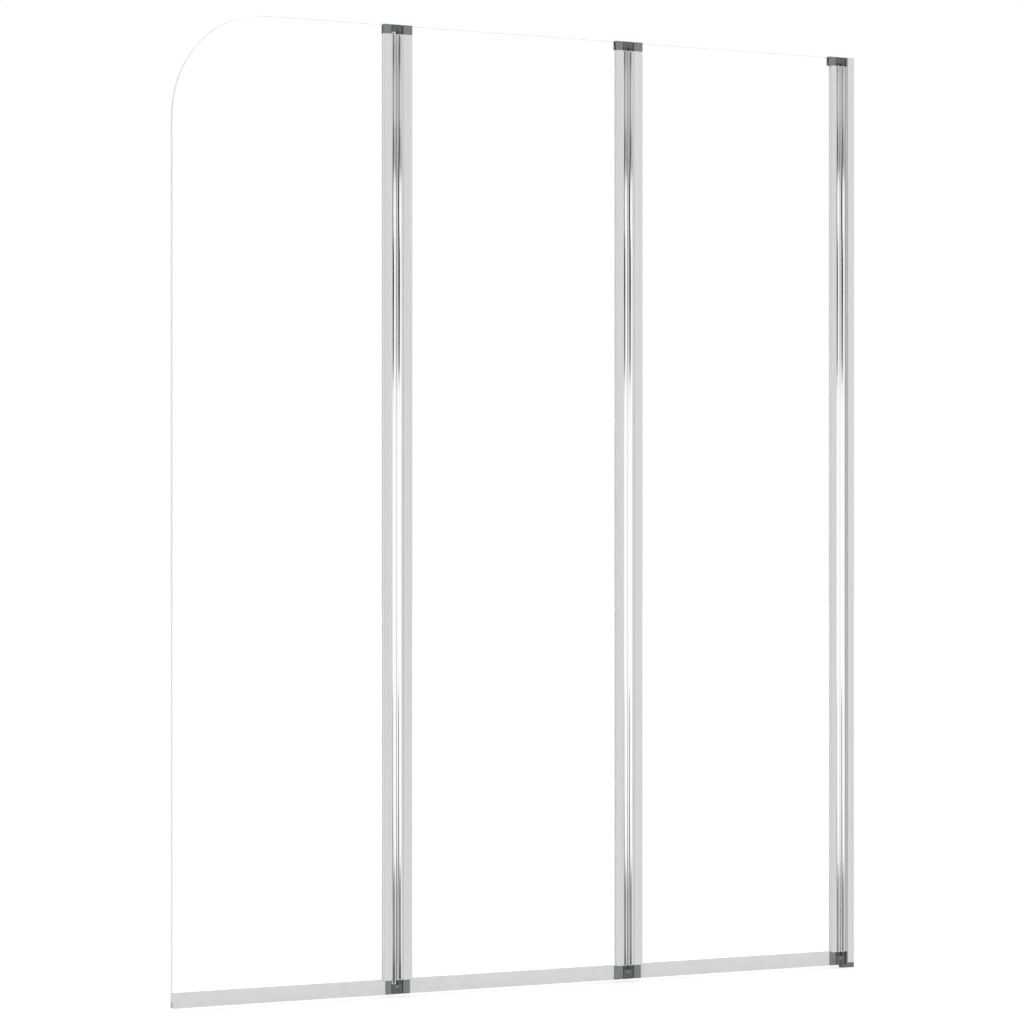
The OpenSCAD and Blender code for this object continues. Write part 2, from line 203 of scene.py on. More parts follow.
def rectangle(x0, x1, half, radius):
    """Corners of a rectangle from x0 to x1 and half to each side of the middle, all rounded."""
    return [(x0, -half, radius), (x1, -half, radius), (x1, half, radius), (x0, half, radius)]


def full_turn(count):
    """Angles of count equal steps round a whole turn, from 0."""
    return np.arange(count) * 2 * np.pi / count


def circle(centre_x, radius, count=64):
    """Points of a circle round (centre_x, 0), counter-clockwise."""
    angles = full_turn(count)
    return np.stack([centre_x + radius * np.cos(angles), radius * np.sin(angles)], 1)


def area_of(loop):
    """Signed area of a closed loop, half the sum of the cross products of its sides."""
    following = np.roll(loop, -1, 0)
    return 0.5 * float(np.sum(loop[:, 0] * following[:, 1] - loop[:, 1] * following[:, 0]))


def at_height(loop, z):
    """Points of a flat loop, lifted to height z."""
    return np.column_stack([loop, np.full(len(loop), z)])


def flipped(faces):
    """The same faces, turned to their other side."""
    return [tuple(reversed(face)) for face in faces]


def lid(loops):
    """Triangles that fill the first loop and leave the others open, all counter-clockwise."""
    flat = np.concatenate(loops)
    filled = []
    for a, b, c in tessellate_polygon([[Vector((x, y, 0)) for x, y in loop] for loop in loops]):
        turn = np.cross(flat[b] - flat[a], flat[c] - flat[a])
        filled.append((a, b, c) if turn > 0 else (a, c, b))
    return filled


def flat_end(loops, z, up, finish=0):
    """The lid of the loops at height z, facing up or down."""
    faces = lid(loops) if up else flipped(lid(loops))
    return (at_height(np.concatenate(loops), z), faces,
            np.zeros(len(faces), bool), np.full(len(faces), finish))


def lattice(grid, wrap_rows, wrap_columns, finish=0):
    """Smooth skin over a grid of points worked out from two parameters, rows by columns: each
    cell is a face of four corners, and a wrapped parameter joins its last line to its first."""
    rows, columns = grid.shape[:2]
    index = np.arange(rows * columns).reshape(rows, columns)
    if wrap_rows:
        index = np.concatenate([index, index[:1]])
    if wrap_columns:
        index = np.concatenate([index, index[:, :1]], 1)
    faces = np.stack([index[:-1, :-1], index[:-1, 1:], index[1:, 1:], index[1:, :-1]], -1)
    faces = faces.reshape(-1, 4)
    return (grid.reshape(-1, 3), faces.tolist(),
            np.full(len(faces), True), np.full(len(faces), finish))


def outwards(part):
    """The same closed part with its faces turned outwards: the volume that its faces enclose,
    a sixth of the sum of their corners' triple products, is made positive."""
    points, faces, smooth, finish = part
    volume = 0.0
    for face in faces:
        a = points[face[0]]
        for b, c in zip(face[1:-1], face[2:]):
            volume += a @ np.cross(points[b], points[c])
    return points, flipped(faces) if volume < 0 else faces, smooth, finish


def joined(parts):
    """Several parts as one."""
    starts = np.cumsum([0] + [len(part[0]) for part in parts])
    faces = [tuple(int(i) + int(start) for i in face)
             for start, part in zip(starts, parts) for face in part[1]]
    return (np.concatenate([part[0] for part in parts]), faces,
            np.concatenate([part[2] for part in parts]),
            np.concatenate([part[3] for part in parts]))


def upright(loops, z0, z1, rounded_sides=None, finish=0):
    """Straight extrusion along Z of the first loop with the other loops as holes through it.
    Sides marked in rounded_sides are shaded smooth, as they follow an arc."""
    parts = []
    for number, loop in enumerate(loops):
        wall = np.stack([at_height(loop, z0), at_height(loop, z1)])
        points, faces, smooth, finishes = lattice(wall, False, True, finish)
        if number == 0 and rounded_sides is not None:
            smooth = np.array(rounded_sides)
        if (area_of(loop) > 0) != (number == 0):
            faces = flipped(faces)
        parts.append((points, faces, smooth, finishes))
    return joined([*parts, flat_end(loops, z0, False, finish), flat_end(loops, z1, True, finish)])


def turned(profile, axis_x, count=120):
    """Ring turned about the vertical line through (axis_x, 0): each point (radius, height) of a
    closed profile goes round a circle."""
    angles = full_turn(count)
    profile = np.array(profile, float)
    grid = np.stack([axis_x + np.outer(np.cos(angles), profile[:, 0]),
                     np.outer(np.sin(angles), profile[:, 0]),
                     np.broadcast_to(profile[:, 1], (count, len(profile)))], -1)
    return outwards(lattice(grid, True, True))


def rounded_slab(outline_at, z0, z1, edge, holes, hole_depth, open_low):
    """Prism along Z whose rims are turned over a quarter circle of radius edge: outline_at(inset)
    is the outline drawn in by inset, and the inset follows the circle near both ends. The holes,
    loops of points, go hole_depth deep from the top, or from the bottom if open_low."""
    turn = np.radians([90, 60, 30, 0])
    inset = edge - edge * np.cos(turn)
    rise = edge * (1 - np.sin(turn))
    insets = np.concatenate([inset, inset[::-1]])
    heights = np.concatenate([z0 + rise, z1 - rise[::-1]])
    rings = np.stack([at_height(outline_at(d), z) for d, z in zip(insets, heights)])
    end = outline_at(insets[0])
    low_loops, high_loops = ([end, *holes], [end]) if open_low else ([end], [end, *holes])
    parts = [lattice(rings, False, True),
             flat_end(low_loops, z0, False), flat_end(high_loops, z1, True)]
    mouth = z0 if open_low else z1
    floor_z = mouth + hole_depth if open_low else mouth - hole_depth
    for hole in holes:
        wall = np.stack([at_height(hole, mouth), at_height(hole, floor_z)])
        points, faces, smooth, finish = lattice(wall, False, True)
        bottom = [tuple(range(len(hole), 2 * len(hole)))]
        faces = faces + flipped(bottom) if open_low else flipped(faces) + bottom
        parts.append((points, faces, np.append(smooth, False), np.append(finish, 0)))
    return joined(parts)


def in_place_of(stands_for, name, mesh):
    """Puts a mesh into the scene as the piece that replaces a CAD node: it rides on the node's
    body, and the node is hidden."""
    piece = bpy.data.objects.new(name, mesh)
    bpy.context.scene.collection.objects.link(piece)
    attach(piece, frame["nodes"][stands_for]["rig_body"])
    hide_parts(stands_for)
    return piece


def put_piece(name, part, materials, stands_for):
    """Puts a part into one mesh at the origin, in place of the CAD node that it stands for."""
    points, faces, smooth, finish = part
    mesh = bpy.data.meshes.new(name)
    mesh.from_pydata((points * MM).tolist(), [], faces)
    for material in materials:
        mesh.materials.append(material)
    mesh.update()
    mesh.set_sharp_from_angle(angle=math.radians(SHARP_TURN))  # it makes every face smooth
    mesh.polygons.foreach_set("use_smooth", np.array(smooth, bool))
    mesh.polygons.foreach_set("material_index", np.array(finish, np.int32))
    return in_place_of(stands_for, name, mesh)


def softened_copy(stands_for, name, material, edge):
    """Copy of a CAD node's mesh, merged at its doubles and cleared of the lines across its flat
    faces, whose edges a Bevel modifier then rounds to the radius edge."""
    mesh = bpy.data.meshes.new(name)
    shape = bmesh.new()
    shape.from_mesh(frame["nodes"][stands_for].data)
    bmesh.ops.remove_doubles(shape, verts=shape.verts, dist=1e-6)
    bmesh.ops.dissolve_limit(shape, angle_limit=math.radians(FLAT_TURN),
                             verts=shape.verts, edges=shape.edges)
    shape.to_mesh(mesh)
    shape.free()
    mesh.materials.clear()
    mesh.materials.append(material)
    mesh.polygons.foreach_set("material_index", np.zeros(len(mesh.polygons), np.int32))
    mesh.polygons.foreach_set("use_smooth", np.ones(len(mesh.polygons), bool))
    mesh.set_sharp_from_angle(angle=math.radians(COPY_SHARP_TURN))
    piece = in_place_of(stands_for, name, mesh)
    rounding = piece.modifiers.new("rounded edges", "BEVEL")
    rounding.width = edge * MM
    rounding.segments = 3
    rounding.limit_method = "ANGLE"
    rounding.angle_limit = math.radians(ROUNDED_TURN)
    rounding.harden_normals = True


# ---- Materials ----
# Every size in them is a length in metres.

# A Mix node has sockets for every kind of data. These are the ones that it uses for colours.
MIX_SHARE, MIX_FIRST, MIX_SECOND, MIX_RESULT = 0, 6, 7, 2


def linear(code):
    """Linear colour of an sRGB hex value."""
    value = np.array([int(code[i:i + 2], 16) for i in (1, 3, 5)]) / 255
    value = np.where(value <= 0.04045, value / 12.92, ((value + 0.055) / 1.055) ** 2.4)
    return (*value.tolist(), 1.0)


def add(tree, kind, sockets=None, **settings):
    """Adds a node with its settings; each socket gets a value, or a link from another socket."""
    made = tree.nodes.new(kind)
    for key, value in settings.items():
        setattr(made, key, value)
    for key, value in (sockets or {}).items():
        if isinstance(value, bpy.types.NodeSocket):
            tree.links.new(value, made.inputs[key])
        else:
            made.inputs[key].default_value = value
    return made


def start(name, **sockets):
    """A material with its Principled shader, set by its own sockets, and the object's
    coordinates. Returns the material, its tree, the shader and the coordinates."""
    material = bpy.data.materials.new(name)
    material.use_nodes = True
    tree = material.node_tree
    tree.nodes.clear()
    shader = add(tree, "ShaderNodeBsdfPrincipled",
                 {key.replace("_", " "): value for key, value in sockets.items()})
    add(tree, "ShaderNodeOutputMaterial", {"Surface": shader.outputs["BSDF"]})
    place = add(tree, "ShaderNodeTexCoord").outputs["Object"]
    return material, tree, shader, place


def streaks(tree, place, size, detail=2.0):
    """Noise whose grains measure size along each axis."""
    scaled = add(tree, "ShaderNodeMapping",
                 {"Vector": place, "Scale": tuple(1 / s for s in size)}, vector_type="POINT")
    return add(tree, "ShaderNodeTexNoise",
               {"Vector": scaled.outputs["Vector"], "Scale": 1.0, "Detail": detail}).outputs["Fac"]


def grained_surface(tree, shader, cloud, tones, grain, rough, bump, depth):
    """What all finishes but the clear glass have in common: the base colour drifts between two
    sRGB tones with a cloud, and the roughness goes from the first value of rough to the second
    with a grain, which stands depth high. A noise lies between 0.3 and 0.7 nearly everywhere."""
    mixed = add(tree, "ShaderNodeMix", {MIX_SHARE: cloud, MIX_FIRST: linear(tones[0]),
                                        MIX_SECOND: linear(tones[1])}, data_type="RGBA")
    tree.links.new(mixed.outputs[MIX_RESULT], shader.inputs["Base Color"])
    varied = add(tree, "ShaderNodeMapRange", {"Value": grain, "From Min": 0.3, "From Max": 0.7,
                                              "To Min": rough[0], "To Max": rough[1]})
    tree.links.new(varied.outputs["Result"], shader.inputs["Roughness"])
    relief = add(tree, "ShaderNodeBump", {"Height": grain, "Strength": bump, "Distance": depth})
    tree.links.new(relief.outputs["Normal"], shader.inputs["Normal"])


def bright_aluminium(name, tones, roughness, spread, bump):
    """Aluminium pushed through a die, brightened and anodised clear: a clean metal with faint
    lines along its length. The real lines are about 0.1 mm apart; they are drawn 0.4 mm apart so
    that they show, with tones some 3.5 mm wide from the brightening bath between them."""
    material, tree, shader, place = start(name, Metallic=1.0)
    die = streaks(tree, place, (0.0004, 0.0004, 0.35))
    bath = streaks(tree, place, (0.0035, 0.0035, 0.9), detail=1.0)
    grained_surface(tree, shader, bath, tones, die,
                    (roughness - spread, roughness + spread), bump, depth=0.00002)
    return material


def moulded_plastic(name, tones, roughness, grain, bump):
    """Injection-moulded plastic out of a spark-eroded mould: an even skin, slightly rough with
    the given grain, and a cloudy change of tone of some millimetres from the flow."""
    material, tree, shader, place = start(name, IOR=1.52)
    skin = streaks(tree, place, (grain, grain, grain), detail=3.0)
    flow = streaks(tree, place, (0.006, 0.006, 0.006))
    grained_surface(tree, shader, flow, tones, skin,
                    (roughness - 0.06, roughness + 0.06), bump, depth=0.00004)
    return material


def toughened_glass():
    """Float glass, heated and quenched on rollers: clear, faintly green, with the long shallow
    waves that the rollers leave, some 250 mm apart and a few hundredths of a millimetre deep."""
    material, tree, shader, place = start(
        "toughened_clear_glass", Base_Color=linear("#FDFFFE"), Transmission_Weight=1.0, IOR=1.5)
    waves = streaks(tree, place, (0.9, 0.9, 0.25), detail=0.0)
    marks = streaks(tree, place, (0.02, 0.02, 0.05), detail=3.0)
    varied = add(tree, "ShaderNodeMapRange", {"Value": marks, "From Min": 0.45, "From Max": 0.8,
                                              "To Min": 0.0, "To Max": 0.02})
    tree.links.new(varied.outputs["Result"], shader.inputs["Roughness"])
    relief = add(tree, "ShaderNodeBump", {"Height": waves, "Strength": 1.0, "Distance": 0.00004})
    tree.links.new(relief.outputs["Normal"], shader.inputs["Normal"])
    return material


def ground_glass_edge(name, tones, clear):
    """The same glass where a diamond wheel ground its edge and a felt wheel polished it: a pale
    line that lets the share clear of the light through, with wheel marks 0.5 mm apart across
    the edge."""
    material, tree, shader, place = start(name, Transmission_Weight=clear, IOR=1.5)
    wheel = streaks(tree, place, (0.0005, 0.004, 0.0005))
    grained_surface(tree, shader, wheel, tones, wheel, (0.12, 0.3), bump=0.15, depth=0.00002)
    return material


def soft_pvc(name, tones, roughness):
    """Soft PVC pushed through a die: milky and even, with fine lines along its length. They are
    drawn 0.6 mm apart, coarser than the real ones, so that they show."""
    material, tree, shader, place = start(name, IOR=1.53)
    lines = streaks(tree, place, (0.2, 0.0006, 0.0006), detail=1.0)
    cloud = streaks(tree, place, (0.03, 0.03, 0.008))
    grained_surface(tree, shader, cloud, tones, lines,
                    (roughness - 0.07, roughness + 0.07), bump=0.25, depth=0.00005)
    return material


def ground_steel(name, tones, roughness):
    """Stainless or plated steel ground between wheels: bright grey, with rings 0.3 mm apart
    round it."""
    material, tree, shader, place = start(name, Metallic=1.0)
    rings = streaks(tree, place, (0.02, 0.02, 0.0003))
    grained_surface(tree, shader, rings, tones, rings,
                    (roughness - 0.08, roughness + 0.08), bump=0.2, depth=0.00002)
    return material


barrel_metal = bright_aluminium("polished_anodised_barrel", ("#FAFAFA", "#FFFFFF"),
                                roughness=0.045, spread=0.01, bump=0.012)
flat_metal, channel_metal = (
    bright_aluminium(name, ("#D8D8D8", "#E2E2E2"), roughness=0.36, spread=0.05, bump=0.10)
    for name in ("satin_anodised_flat", "satin_anodised_channel"))
cap_plastic = moulded_plastic("moulded_grey_abs", ("#727979", "#777E7E"),
                              roughness=0.42, grain=0.0004, bump=0.3)
# The caps' grey plastic, darkened over the whole foot: painted shade for the shade under the hinge.
foot_plastic_painted_shade = moulded_plastic("moulded_abs_painted_shade", ("#636A6A", "#686F6F"),
                               roughness=0.42, grain=0.0004, bump=0.3)
# The links' plastic is the caps' grey darkened: painted shade for the links, which sit back between
# the barrels.
link_plastic_painted_shade = moulded_plastic("moulded_nylon_painted_shade", ("#51585A", "#585F60"),
                               roughness=0.46, grain=0.0004, bump=0.3)
bush_plastic = moulded_plastic("moulded_black_acetal", ("#3C4142", "#434849"),
                               roughness=0.38, grain=0.0003, bump=0.2)
seal_plastic = soft_pvc("soft_milky_pvc", ("#D5D5D5", "#DCDCDC"), roughness=0.38)
gasket_plastic = soft_pvc("milky_glazing_pvc", ("#F2F3F3", "#F8F8F8"), roughness=0.35)
pin_metal = ground_steel("ground_stainless_pin", ("#B4B6B8", "#C6C8CA"), roughness=0.28)
screw_metal = ground_steel("plated_steel_screw", ("#B9BBBC", "#CCCDCE"), roughness=0.3)
pane_glass = toughened_glass()
edge_glass = ground_glass_edge("ground_glass_edge", ("#F3F4F4", "#FAFAFA"), clear=0.3)
free_edge_glass = ground_glass_edge("fine_ground_glass_edge", ("#F9F9F9", "#FFFFFF"), clear=0.18)


# ---- Aluminium profiles and their gaskets ----


def axis_and_reach(node, side):
    """X of the hinge axis that a profile's barrel is turned about, and how far the profile
    reaches from it to the side that it grips."""
    low, high = box_mm(node)
    if side > 0:
        axis = low[0] + BARREL_R
        return axis, high[0] - axis
    axis = high[0] - BARREL_R
    return axis, axis - low[0]


def seat(half):
    """Corners of a neck's root: an arc inside the barrel's wall, midway between its bore and its
    outside, from one side of the neck to the other."""
    radius = (BARREL_R + BARREL_BORE_R) / 2
    turn = math.asin(half / radius)
    return [(radius * math.cos(a), radius * math.sin(a), 0)
            for a in np.linspace(turn, -turn, 13)]


def barrel(node, axis):
    """Hinge barrel, as high as its node: a tube turned about its axis, whose outer rims are
    turned over a quarter circle."""
    low, high = box_mm(node)
    z0, z1, rim = low[2], high[2], BARREL_RIM
    turn = np.radians([0, 30, 60, 90])
    wall = [(BARREL_R, z0 + rim + RIM_LINE), (BARREL_R, z1 - rim - RIM_LINE)]
    upper = [(BARREL_R - rim + rim * math.cos(a), z1 - rim + rim * math.sin(a)) for a in turn]
    lower = [(BARREL_R - rim + rim * math.cos(a), z0 + rim - rim * math.sin(a)) for a in turn[::-1]]
    bore = [(BARREL_BORE_R, z) for z in (z1, z1 - RIM_LINE, z0 + RIM_LINE, z0)]
    return turned(wall + upper + bore + lower, axis)


def profile_piece(node, side):
    """Edge profile: a barrel turned about the hinge axis, and a block with its hollow and glazing
    slot carried straight up beside it. The block's section is drawn on the barrel's axis and
    pointed to the side that it grips."""
    axis, reach = axis_and_reach(node, side)
    corners = [(BLOCK_X, -NECK_HALF, NECK_FILLET), (BLOCK_X, -PROFILE_HALF, SHOULDER_R),
               (reach, -PROFILE_HALF, JAW_R), (reach, -SLOT_HALF, INNER_CORNER_R),
               (SLOT_X, -SLOT_HALF, INNER_CORNER_R), (SLOT_X, SLOT_HALF, INNER_CORNER_R),
               (reach, SLOT_HALF, INNER_CORNER_R), (reach, PROFILE_HALF, JAW_R),
               (BLOCK_X, PROFILE_HALF, SHOULDER_R), (BLOCK_X, NECK_HALF, NECK_FILLET)]
    outline, on_arc = rounded_outline(corners + seat(NECK_HALF))
    hollow, _ = rounded_outline(rectangle(*HOLLOW_X, SLOT_HALF, INNER_CORNER_R))
    outline, hollow = outline * (side, 1) + (axis, 0), hollow * (side, 1) + (axis, 0)
    block = upright([outline, hollow], *RAIL_Z, on_arc, finish=1)
    put_piece(node.replace("profile", "edge_profile"), joined([barrel(node, axis), block]),
              [barrel_metal, flat_metal], node)


def post_piece(node):
    """Wall post: the same barrel, and a hollow tongue that slides in the channel."""
    axis, end = axis_and_reach(node, 1)
    corners = [(BLOCK_X, -POST_NECK_HALF, NECK_FILLET), (BLOCK_X, -TONGUE_HALF, TONGUE_R),
               (end, -TONGUE_HALF, TONGUE_R), (end, TONGUE_HALF, TONGUE_R),
               (BLOCK_X, TONGUE_HALF, TONGUE_R), (BLOCK_X, POST_NECK_HALF, NECK_FILLET)]
    outline, on_arc = rounded_outline(corners + seat(POST_NECK_HALF))
    hollow, _ = rounded_outline(rectangle(BLOCK_X + TONGUE_WALL, end - TONGUE_WALL,
                                          TONGUE_HALF - TONGUE_WALL, INNER_CORNER_R))
    tongue = upright([outline + (axis, 0), hollow + (axis, 0)], *RAIL_Z, on_arc, finish=1)
    put_piece("post_profile", joined([barrel(node, axis), tongue]),
              [barrel_metal, flat_metal], node)


def gasket_piece(node, profile_node, side):
    """Glazing gasket: a U that lines the slot, carried straight up, and along each of its legs a
    bead with a rounded nose that closes the slot's mouth against the glass."""
    axis, reach = axis_and_reach(profile_node, side)
    leg = reach - GASKET_INSET
    floor_x = SLOT_X + SLOT_HALF - GLASS_HALF
    liner = np.array([(SLOT_X, -SLOT_HALF), (leg, -SLOT_HALF), (leg, -GRIP_HALF),
                      (floor_x, -GRIP_HALF), (floor_x, GRIP_HALF), (leg, GRIP_HALF),
                      (leg, SLOT_HALF), (SLOT_X, SLOT_HALF)])
    loops = [(liner, np.zeros(len(liner), bool), RAIL_Z)]
    nose, shoulder = reach + BEAD_OUT, reach + BEAD_GAP
    bead, on_arc = rounded_outline([(leg, GRIP_HALF, 0), (nose, GRIP_HALF, BEAD_INNER_R),
                                    (nose, BEAD_HALF, BEAD_NOSE_R),
                                    (shoulder, BEAD_HALF, BEAD_OUTER_R),
                                    (shoulder, BEAD_ROOT_HALF, 0), (leg, BEAD_ROOT_HALF, 0)])
    loops += [(bead * (1, face), on_arc, BEAD_Z) for face in (-1, 1)]
    parts = []
    for loop, on_arc, heights in loops:
        placed = loop * (side, 1) + (axis, 0)
        if area_of(placed) < 0:  # turned the other way round, with each side kept on its arc
            placed, on_arc = placed[::-1], np.roll(on_arc[::-1], -1)
        parts.append(upright([placed], *heights, on_arc))
    put_piece(node.replace("_gasket", "_glazing_gasket"), joined(parts), [gasket_plastic], node)


for node, side in (("inner_right_profile", -1), ("inner_left_profile", 1),
                   ("middle_right_profile", -1), ("middle_left_profile", 1),
                   ("outer_profile", -1)):
    profile_piece(node, side)
    gasket_piece(node.replace("profile", "gasket"), node, side)
post_piece("wall_post")
softened_copy("wall_channel", "channel_extrusion", channel_metal, CHANNEL_EDGE)


# ---- Glass ----


def pane_piece(node, free):
    """Pane of toughened glass: its outline is carried through the thickness, drawn in by a
    quarter circle at both faces for the ground arris. The two faces are flat, so no shading
    bends across them. The free pane has the large corner, and an edge that hands touch, which
    is ground finer."""
    low, high = box_mm(node)
    turn = np.radians([90, 67.5, 45, 22.5, 0])
    inset = ARRIS * (1 - np.cos(turn))
    depth = GLASS_HALF - ARRIS + ARRIS * np.sin(turn)
    radii = [PANE_CORNER_R] * 3 + [FREE_CORNER_R if free else PANE_CORNER_R]

    def ring(d, y):
        x0, x1, z0, z1 = low[0] + d, high[0] - d, low[2] + d, high[2] - d
        corners = [(x, z, radius - d)
                   for (x, z), radius in zip([(x0, z0), (x1, z0), (x1, z1), (x0, z1)], radii)]
        outline, _ = rounded_outline(corners, 2.0)
        return np.stack([outline[:, 0], np.full(len(outline), y), outline[:, 1]], 1)

    grid = np.stack([ring(d, y) for d, y in zip(np.concatenate([inset, inset[::-1]]),
                                                np.concatenate([-depth, depth[::-1]]))])
    points, faces, smooth, finish = lattice(grid, False, True, finish=1)
    near = tuple(range(grid.shape[1]))
    far = tuple(range(len(points) - len(near), len(points)))
    part = outwards((points, faces + flipped([near]) + [far],
                     np.append(smooth, [False, False]), np.append(finish, [0, 0])))
    piece = put_piece(node.replace("_glass", "_glass_pane"), part,
                      [pane_glass, free_edge_glass if free else edge_glass], node)
    piece.visible_shadow = False  # clear glass lets the light through to the floor


for node in ("inner_glass", "middle_glass", "outer_glass"):
    pane_piece(node, free=node == "outer_glass")


# ---- Bottom seals ----


def seal_piece(node, notches):
    """Bottom seal: a section that grips the glass and ends in two wiping lips, carried along X.
    Where a profile sits over an end of it, a notch (x, top) says how far in and how low its
    upper rims are there, so the section's height steps from one value to another."""
    low, high = box_mm(node)

    def section(top):
        foot = low[2]
        return rounded_outline([
            (-SEAL_HALF, foot, WIPER_R), (-LIP_FOOT_HALF, foot, WIPER_R),
            (-LIP_ROOT_HALF, SEAL_WEB_Z, SEAL_R), (LIP_ROOT_HALF, SEAL_WEB_Z, SEAL_R),
            (LIP_FOOT_HALF, foot, WIPER_R), (SEAL_HALF, foot, WIPER_R),
            (SEAL_HALF, top, SEAL_R), (GRIP_HALF, top, SEAL_R),
            (GRIP_HALF, SEAL_SEAT_Z, SEAT_R), (-GRIP_HALF, SEAL_SEAT_Z, SEAT_R),
            (-GRIP_HALF, top, SEAL_R), (-SEAL_HALF, top, SEAL_R)], 30.0)

    stations = [(low[0], high[2])]
    if notches[0]:
        x, top = notches[0]
        stations = [(low[0], top), (x, top), (x, high[2])]
    if notches[1]:
        x, top = notches[1]
        stations += [(x, high[2]), (x, top), (high[0], top)]
    else:
        stations.append((high[0], high[2]))
    sections = [section(top) for _, top in stations]
    grid = np.stack([np.column_stack([np.full(len(outline), x), outline])
                     for (x, _), (outline, _) in zip(stations, sections)])
    points, faces, _, _ = lattice(grid, False, True)
    smooth = np.tile(sections[0][1], len(stations) - 1)
    last = len(points) - grid.shape[1]
    ends = flipped(lid([sections[0][0]]))
    ends += [tuple(i + last for i in face) for face in lid([sections[-1][0]])]
    part = outwards((points, faces + ends, np.append(smooth, np.zeros(len(ends), bool)),
                     np.zeros(len(faces) + len(ends), int)))
    put_piece(node.replace("_seal", "_wiper_seal"), part, [seal_plastic], node)


def notch(profile_node, seal_node, at_low):
    """Notch (x, top) of a seal's lower or higher end, where its profile reaches past the cap."""
    profile, seal = box_mm(profile_node), box_mm(seal_node)
    x = profile[1][0] + NOTCH_GAP if at_low else profile[0][0] - NOTCH_GAP
    inside = seal[0][0] < x if at_low else x < seal[1][0]
    return (x, RAIL_Z[0] - NOTCH_GAP) if inside else None


for panel in ("inner", "middle"):
    seal = panel + "_bottom_seal"
    seal_piece(seal, (notch(panel + "_left_profile", seal, True),
                      notch(panel + "_right_profile", seal, False)))
seal_piece("outer_bottom_seal", (None, notch("outer_profile", "outer_bottom_seal", False)))


# ---- Links, caps and foot ----


def link_outline(hinge_x, inset):
    """Two eyes and the bridge between them: more than three quarters of a circle round each
    pivot, joined by straight sides at the bridge's half width, drawn in by inset."""
    radius, half = BARREL_R - inset, BRIDGE_HALF - inset
    start_turn = math.asin(half / radius)
    turn = np.linspace(start_turn - np.pi, np.pi - start_turn, 73)
    right = np.stack([hinge_x + PITCH / 2 + radius * np.cos(turn), radius * np.sin(turn)], 1)
    left = np.stack([hinge_x - PITCH / 2 - radius * np.cos(turn), -radius * np.sin(turn)], 1)
    return np.concatenate([right, left])


def boss(centre_x, centre_z):
    """Boss through a link's bridge, turned about a line along Y: a straight side, and at both
    ends a crown, a quarter of an ellipse that runs in to a pole. It has the second finish, the
    caps' paler plastic, which paints a highlight on it."""
    turn = full_turn(BOSS_SIDES)
    across = np.radians(np.linspace(0, 90, 9))
    crown = np.stack([BOSS_R * np.sin(across), BOSS_HALF + BOSS_CROWN * np.cos(across)], 1)
    path = np.concatenate([crown[1:], (crown * (1, -1))[::-1][:-1]])
    grid = np.stack([centre_x + np.outer(path[:, 0], np.cos(turn)),
                     np.broadcast_to(path[:, 1:2], (len(path), BOSS_SIDES)),
                     centre_z + np.outer(path[:, 0], np.sin(turn))], -1)
    points, faces, _, _ = lattice(grid, False, True)
    tip = BOSS_HALF + BOSS_CROWN
    poles = np.array([[centre_x, tip, centre_z], [centre_x, -tip, centre_z]])
    here = np.arange(BOSS_SIDES)
    following = np.roll(here, -1)
    pole, last = np.full(BOSS_SIDES, len(points)), len(points) - BOSS_SIDES
    faces += np.stack([pole, following, here], 1).tolist()
    faces += np.stack([pole + 1, last + here, last + following], 1).tolist()
    return outwards((np.concatenate([points, poles]), faces,
                     np.ones(len(faces), bool), np.ones(len(faces), int)))


def link_piece(node, lower):
    """Link: the outline of its eyes turned over at the rims, with blind holes for the pins, and
    a boss through the bridge of the lower one, whose paler plastic is a painted highlight."""
    low, high = box_mm(node)
    hinge_x = (low[0] + high[0]) / 2
    holes = [circle(hinge_x + side * PITCH / 2, PIN_R) for side in (-1, 1)]
    parts = [rounded_slab(lambda d: link_outline(hinge_x, d), low[2], high[2], LINK_RIM, holes,
                          high[2] - low[2] - PIN_FLOOR, open_low=not lower)]
    if lower:
        parts.append(boss(hinge_x, (low[2] + high[2]) / 2 + BOSS_LIFT))
    # The link's darker plastic is painted shade, and the boss's paler plastic a painted highlight.
    put_piece(node.replace("link", "hinge_link"), joined(parts), [link_plastic_painted_shade, cap_plastic], node)


for hinge in ("wall", "inner", "outer"):
    link_piece(hinge + "_link_top", False)
    link_piece(hinge + "_link_bottom", True)

for end in ("top", "bottom"):
    for edge in ("inner_right", "inner_left", "middle_right", "middle_left", "outer"):
        softened_copy(f"{edge}_{end}_cap", f"{edge}_{end}_end_cap", cap_plastic, CAP_EDGE)
# The foot's darker plastic is painted shade.
softened_copy("foot_cap", "wall_foot", foot_plastic_painted_shade, CAP_EDGE)
softened_copy("post_top_cap", "post_end_cap", cap_plastic, CAP_EDGE)


# ---- Screws ----


def screw_heights(node):
    """Height of each screw's axis: halfway between the lowest and highest of the points near one
    level. The screws stand hundreds of millimetres apart, so levels 100 mm apart keep them so."""
    heights = np.array([v.co.z for v in frame["nodes"][node].data.vertices]) / MM
    apart, near_by = 100, 60
    centres = []
    for level in np.unique(np.round(heights / apart)) * apart:
        near = heights[np.abs(heights - level) < near_by]
        centres.append(0.5 * (near.min() + near.max()))
    return np.unique(np.round(centres, 2))


